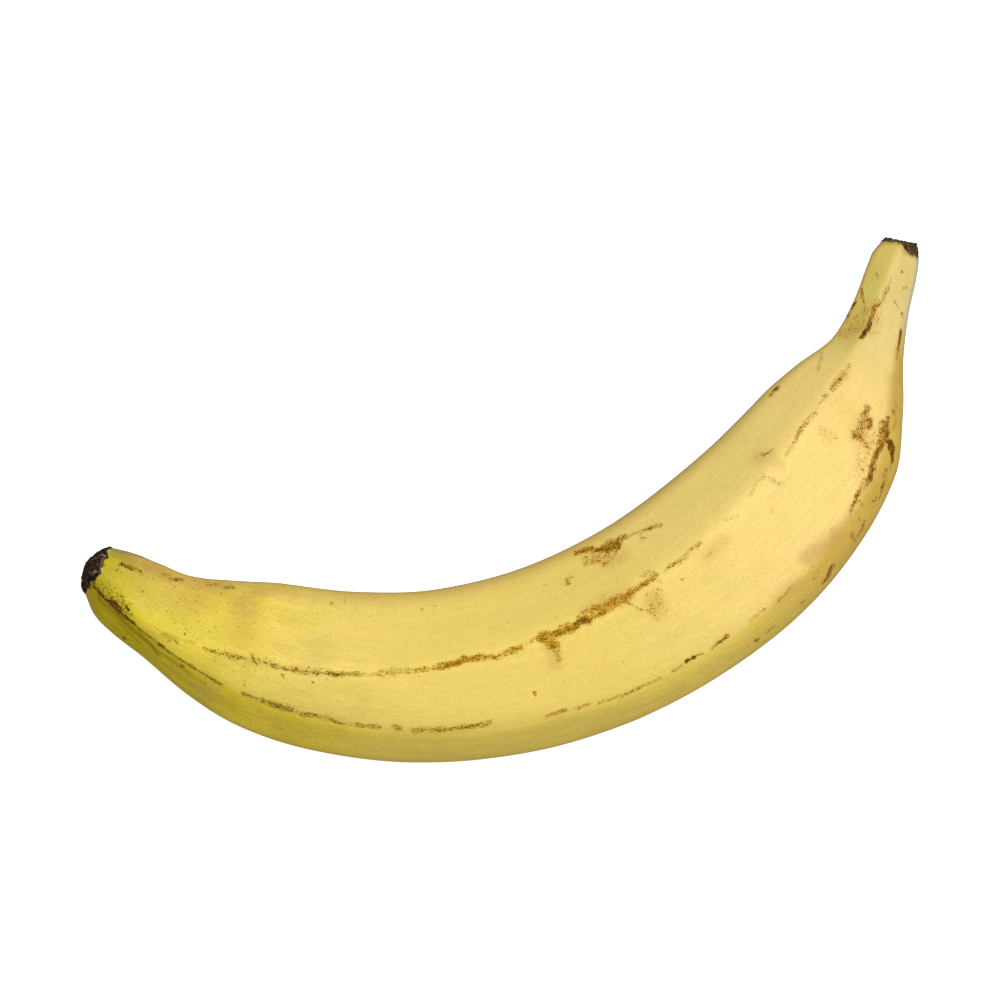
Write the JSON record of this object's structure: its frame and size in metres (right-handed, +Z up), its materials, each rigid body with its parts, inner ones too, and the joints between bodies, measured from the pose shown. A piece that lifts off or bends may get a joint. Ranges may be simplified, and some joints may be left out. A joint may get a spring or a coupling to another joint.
{
  "type": "plantain",
  "caption": "Whole unpeeled ripening plantain lying on its side, a curved ridged yellow fruit with a narrow cut neck and a dark dried flower scar.",
  "frame": {"origin": "on the surface that the fruit lies on, under the middle of the fruit's box", "axes": "+X from the blossom end to the cut stem along the chord of the bend, +Y toward the inside of the bend, +Z up"},
  "size_m": [0.2442, 0.0982, 0.0482],
  "materials": {
    "peel": "satin yellow fruit peel, olive green toward the flower scar, with brown scuffs along the ridges"
  },
  "bodies": {
    "root": {"plantain": "peel"}
  },
  "joints": []
}
